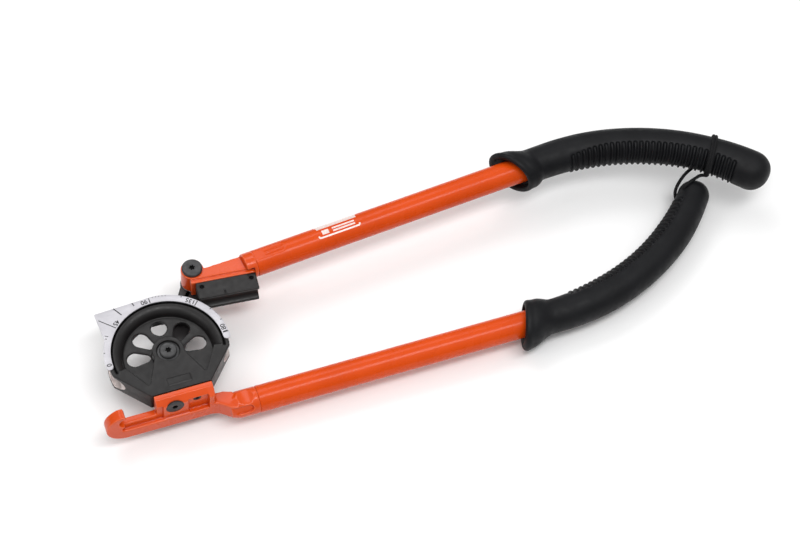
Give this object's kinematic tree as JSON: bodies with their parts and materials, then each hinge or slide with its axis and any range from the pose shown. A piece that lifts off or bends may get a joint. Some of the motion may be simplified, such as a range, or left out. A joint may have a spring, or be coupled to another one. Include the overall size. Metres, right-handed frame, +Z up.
{
  "type": "manual tube bender",
  "caption": "Two-handed lever tube bender: a grooved former with an angle scale and a hook on one long lever, and a backing shoe on a second lever joined by a swinging link.",
  "frame": {"origin": "centre of the former, halfway up its tube groove", "axes": "+X along the lower handle to the grips, +Y towards the upper handle, +Z up, out of the scale plate's face"},
  "size_m": [0.703, 0.1972, 0.0729],
  "materials": {
    "lever_paint": "glossy orange enamel",
    "grip_rubber": "satin black rubber, ribbed inside the curve",
    "black_casting": "satin black enamel on a casting, bare metal in the groove",
    "scale_plate": "satin silver with dark printed marks",
    "black_screw": "blackened steel",
    "black_bolt": "blackened steel with a turned face",
    "plain_steel": "zinc-plated steel",
    "bronze": "sintered bronze",
    "black_link": "black enamel",
    "strap_elastic": "round elastic cord"
  },
  "bodies": {
    "lower_lever": {"lower_head": "lever_paint", "lower_tube": "lever_paint", "lower_grip": "grip_rubber", "former": "black_casting", "scale_plate": "scale_plate", "former_screw": "black_screw", "former_pin": "black_screw", "centre_bolt": "black_bolt", "centre_washer": "black_bolt", "centre_bush": "plain_steel", "thrust_washer": "plain_steel", "nut_washer": "plain_steel", "centre_nut": "plain_steel", "strap": "strap_elastic"},
    "link": {"link_arm": "black_link", "link_bush": "bronze", "pivot_bolt": "black_bolt", "pivot_thrust_washer": "plain_steel", "pivot_nut": "plain_steel"},
    "pivot_sleeve": {"pivot_bush": "bronze"},
    "upper_lever": {"upper_head": "lever_paint", "upper_tube": "lever_paint", "upper_grip": "grip_rubber", "shoe": "black_casting", "shoe_pins": "black_screw"}
  },
  "joints": [
    {"name": "link_swing", "type": "hinge", "parent": "lower_lever", "child": "link", "pos_m": [0, 0, 0], "axis": [0, 0, 1], "range_deg": [0, 121], "deforming": ["strap"]},
    {"name": "sleeve_turn", "type": "hinge", "parent": "link", "child": "pivot_sleeve", "pos_m": [0.04635, 0.07715, 0], "axis": [0, 0, 1], "range_deg": [-27, 0]},
    {"name": "lever_swing", "type": "hinge", "parent": "pivot_sleeve", "child": "upper_lever", "pos_m": [0.04635, 0.07715, 0], "axis": [0, 0, 1], "range_deg": [0, 100], "deforming": ["strap"]}
  ],
  "couplings": [
    {"joint": "sleeve_turn", "follows": "link_swing", "ratio": -0.2153}
  ]
}
